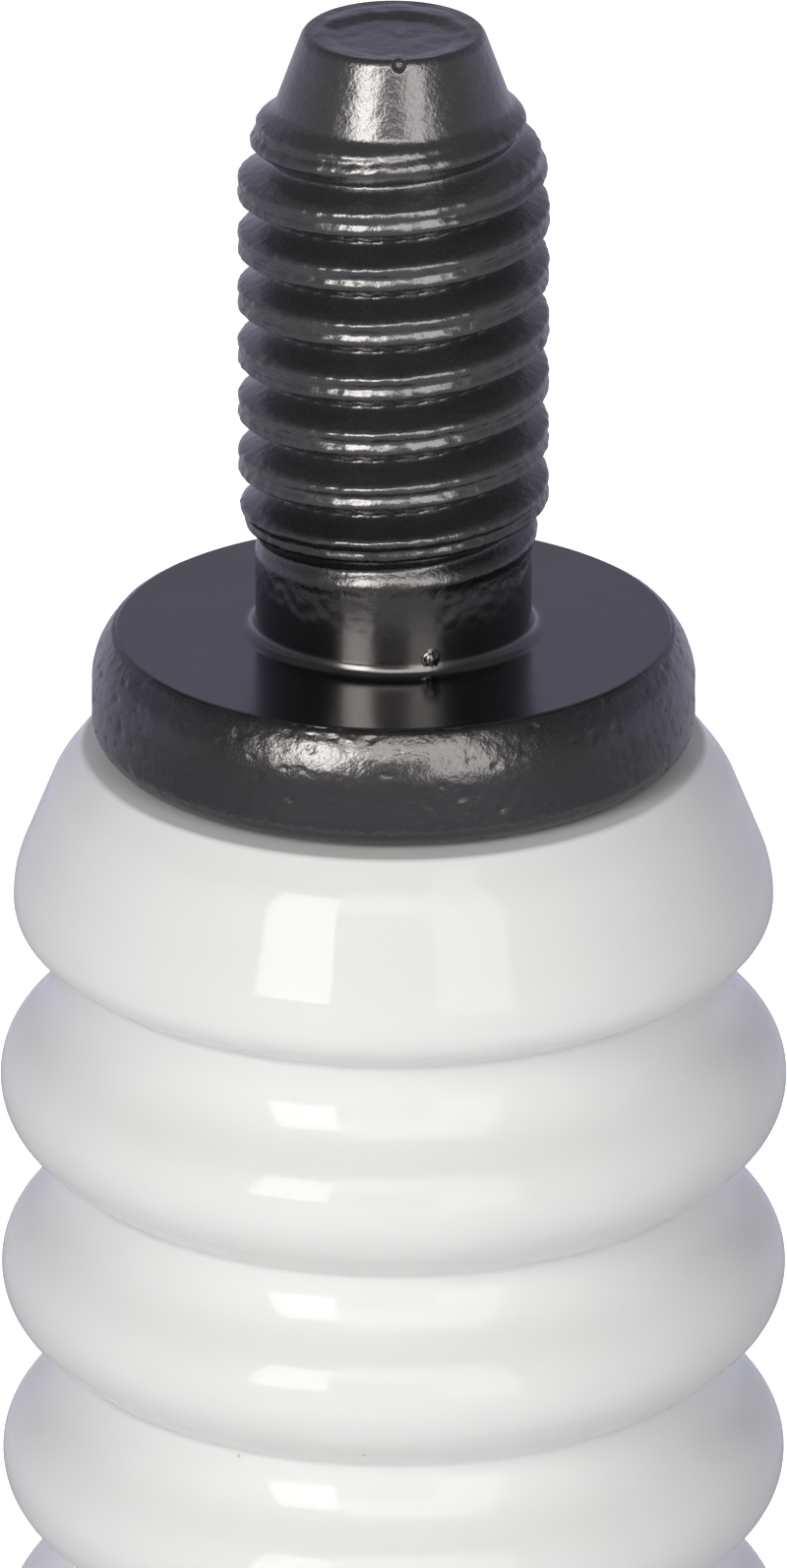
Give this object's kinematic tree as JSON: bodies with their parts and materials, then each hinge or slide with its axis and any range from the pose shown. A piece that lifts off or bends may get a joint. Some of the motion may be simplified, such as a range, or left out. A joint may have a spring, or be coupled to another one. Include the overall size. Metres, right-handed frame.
{
  "type": "spark plug",
  "caption": "Ignition plug: threaded terminal stud with a round collar, ribbed glazed porcelain insulator, hexagonal screw-in steel shell, loose seat gasket, centre and side electrodes.",
  "frame": {"origin": "on the axis, at the face of the shell that presses the gasket onto the cylinder head", "axes": "+Z along the plug towards the terminal; +X through a corner of the hexagon, above the side electrode"},
  "size_m": [0.024, 0.0208, 0.077],
  "materials": {
    "blackened_steel": "black oxide, glossy",
    "porcelain": "clear glaze",
    "plated_steel": "bright plating",
    "nickel": "bare alloy",
    "copper": "bare",
    "glass_seal": "fused glass and copper powder",
    "carbon": "pressed powder",
    "talc": "pressed powder"
  },
  "bodies": {
    "plug": {"terminal_stud": "blackened_steel", "porcelain_insulator": "porcelain", "metal_shell": "plated_steel", "ground_electrode": "nickel", "centre_electrode": "nickel", "electrode_copper_core": "copper", "lower_glass_seal": "glass_seal", "resistor": "carbon", "upper_glass_seal": "glass_seal", "upper_packing_ring": "plated_steel", "talc_packing": "talc", "lower_packing_ring": "plated_steel", "seat_washer": "plated_steel"},
    "gasket": {"sealing_gasket": "plated_steel"}
  },
  "joints": [
    {"name": "gasket_slide", "type": "slide", "parent": "plug", "child": "gasket", "axis": [0, 0, 1], "range_m": [0, 0.00085]}
  ]
}
